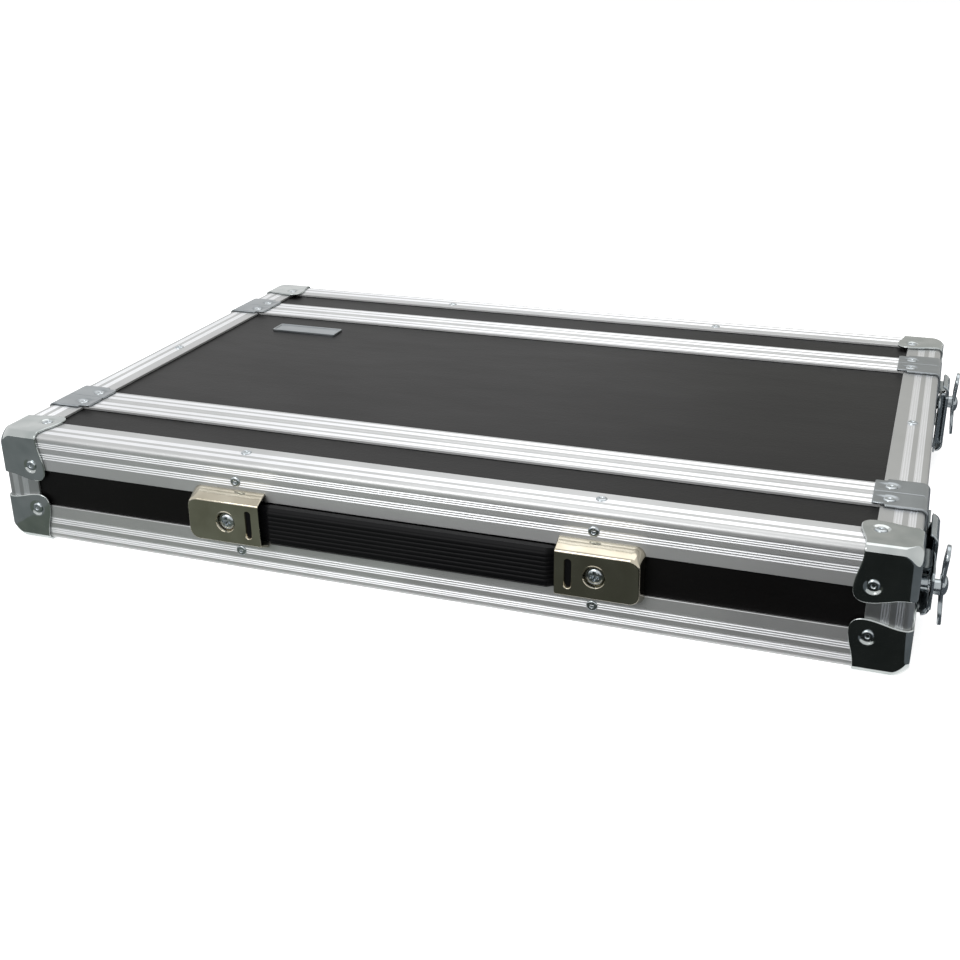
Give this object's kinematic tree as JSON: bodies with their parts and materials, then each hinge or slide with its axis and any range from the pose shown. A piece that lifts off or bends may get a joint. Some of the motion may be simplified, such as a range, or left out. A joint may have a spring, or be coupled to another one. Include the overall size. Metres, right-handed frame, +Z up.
{
  "type": "rack flight case",
  "caption": "Shallow rack flight case with removable front and rear lids, butterfly latches, ball corners and a strap handle.",
  "frame": {"origin": "middle of the footprint (handle and latches included) at the level the case rests on", "axes": "+X along the case, to the right seen from the handle side; +Y from the handled front lid to the rear lid; +Z up, the case lying flat"},
  "size_m": [0.551, 0.367, 0.0692],
  "materials": {
    "laminate_panel": "black plastic laminate on plywood",
    "edging": "satin anodised extrusion, fluted",
    "corner_cap": "bright plated pressed steel",
    "handle_cap": "bright nickel plate",
    "latch_steel": "bright zinc plate",
    "handle_strap": "black rubber, ribbed",
    "lid_foam": "dark grey foam",
    "rack_rail": "black powder coat",
    "nameplate": "blank brushed plate"
  },
  "bodies": {
    "sleeve": {"blank_nameplate": "nameplate", "body_bottom_panel": "laminate_panel", "body_edge_bottom_left": "edging", "body_edge_bottom_right": "edging", "body_edge_top_left": "edging", "body_edge_top_right": "edging", "body_front_frame": "edging", "body_left_panel": "laminate_panel", "body_rear_frame": "edging", "body_right_panel": "laminate_panel", "body_top_panel": "laminate_panel", "latch_front_left_keeper": "latch_steel", "latch_front_right_keeper": "latch_steel", "latch_rear_left_keeper": "latch_steel", "latch_rear_right_keeper": "latch_steel", "rack_rail_left": "rack_rail", "rack_rail_right": "rack_rail"},
    "front_lid": {"front_lid_closing_frame": "edging", "front_lid_corner_bottom_left": "corner_cap", "front_lid_corner_bottom_right": "corner_cap", "front_lid_corner_top_left": "corner_cap", "front_lid_corner_top_right": "corner_cap", "front_lid_edge_bottom_left": "edging", "front_lid_edge_bottom_right": "edging", "front_lid_edge_top_left": "edging", "front_lid_edge_top_right": "edging", "front_lid_face_panel": "laminate_panel", "front_lid_foam": "lid_foam", "front_lid_frame_edging": "edging", "front_lid_wall_panels": "laminate_panel", "latch_front_left_base": "latch_steel", "latch_front_right_base": "latch_steel", "handle_cap_left": "handle_cap", "handle_cap_right": "handle_cap", "handle_screw_left": "latch_steel", "handle_screw_right": "latch_steel"},
    "latch_front_left_wing_part": {"latch_front_left_wing": "latch_steel"},
    "latch_front_left_hook_part": {"latch_front_left_hook": "latch_steel"},
    "latch_front_right_wing_part": {"latch_front_right_wing": "latch_steel"},
    "latch_front_right_hook_part": {"latch_front_right_hook": "latch_steel"},
    "rear_lid": {"rear_lid_closing_frame": "edging", "rear_lid_corner_bottom_left": "corner_cap", "rear_lid_corner_bottom_right": "corner_cap", "rear_lid_corner_top_left": "corner_cap", "rear_lid_corner_top_right": "corner_cap", "rear_lid_edge_bottom_left": "edging", "rear_lid_edge_bottom_right": "edging", "rear_lid_edge_top_left": "edging", "rear_lid_edge_top_right": "edging", "rear_lid_face_panel": "laminate_panel", "rear_lid_foam": "lid_foam", "rear_lid_frame_edging": "edging", "rear_lid_wall_panels": "laminate_panel", "latch_rear_left_base": "latch_steel", "latch_rear_right_base": "latch_steel"},
    "latch_rear_left_wing_part": {"latch_rear_left_wing": "latch_steel"},
    "latch_rear_left_hook_part": {"latch_rear_left_hook": "latch_steel"},
    "latch_rear_right_wing_part": {"latch_rear_right_wing": "latch_steel"},
    "latch_rear_right_hook_part": {"latch_rear_right_hook": "latch_steel"},
    "handle_strap": {"handle_strap": "handle_strap"}
  },
  "joints": [
    {"name": "front_lid_lift", "type": "slide", "parent": "sleeve", "child": "front_lid", "axis": [0, -1, 0], "range_m": [0, 0.14]},
    {"name": "latch_front_left_turn", "type": "hinge", "parent": "front_lid", "child": "latch_front_left_wing_part", "pos_m": [-0.272, -0.1359, 0.0346], "axis": [-1, 0, 0], "range_deg": [0, 180]},
    {"name": "latch_front_left_draw", "type": "slide", "parent": "front_lid", "child": "latch_front_left_hook_part", "axis": [-0.3976, 0.9176, 0], "range_m": [0, 0.00656]},
    {"name": "latch_front_right_turn", "type": "hinge", "parent": "front_lid", "child": "latch_front_right_wing_part", "pos_m": [0.272, -0.1359, 0.0346], "axis": [1, 0, 0], "range_deg": [0, 180]},
    {"name": "latch_front_right_draw", "type": "slide", "parent": "front_lid", "child": "latch_front_right_hook_part", "axis": [0.3976, 0.9176, 0], "range_m": [0, 0.00656]},
    {"name": "rear_lid_lift", "type": "slide", "parent": "sleeve", "child": "rear_lid", "axis": [0, 1, 0], "range_m": [0, 0.14]},
    {"name": "latch_rear_left_turn", "type": "hinge", "parent": "rear_lid", "child": "latch_rear_left_wing_part", "pos_m": [-0.272, 0.1441, 0.0346], "axis": [-1, 0, 0], "range_deg": [0, 180]},
    {"name": "latch_rear_left_draw", "type": "slide", "parent": "rear_lid", "child": "latch_rear_left_hook_part", "axis": [-0.3976, -0.9176, 0], "range_m": [0, 0.00656]},
    {"name": "latch_rear_right_turn", "type": "hinge", "parent": "rear_lid", "child": "latch_rear_right_wing_part", "pos_m": [0.272, 0.1441, 0.0346], "axis": [1, 0, 0], "range_deg": [0, 180]},
    {"name": "latch_rear_right_draw", "type": "slide", "parent": "rear_lid", "child": "latch_rear_right_hook_part", "axis": [0.3976, -0.9176, 0], "range_m": [0, 0.00656]},
    {"name": "handle_strap_play", "type": "slide", "parent": "front_lid", "child": "handle_strap", "axis": [1, 0, 0], "range_m": [-0.004, 0.004]}
  ],
  "couplings": [
    {"joint": "latch_front_left_draw", "follows": "latch_front_left_turn", "m_per_rad": 0.002081},
    {"joint": "latch_front_right_draw", "follows": "latch_front_right_turn", "m_per_rad": 0.002081},
    {"joint": "latch_rear_left_draw", "follows": "latch_rear_left_turn", "m_per_rad": 0.002081},
    {"joint": "latch_rear_right_draw", "follows": "latch_rear_right_turn", "m_per_rad": 0.002081}
  ]
}
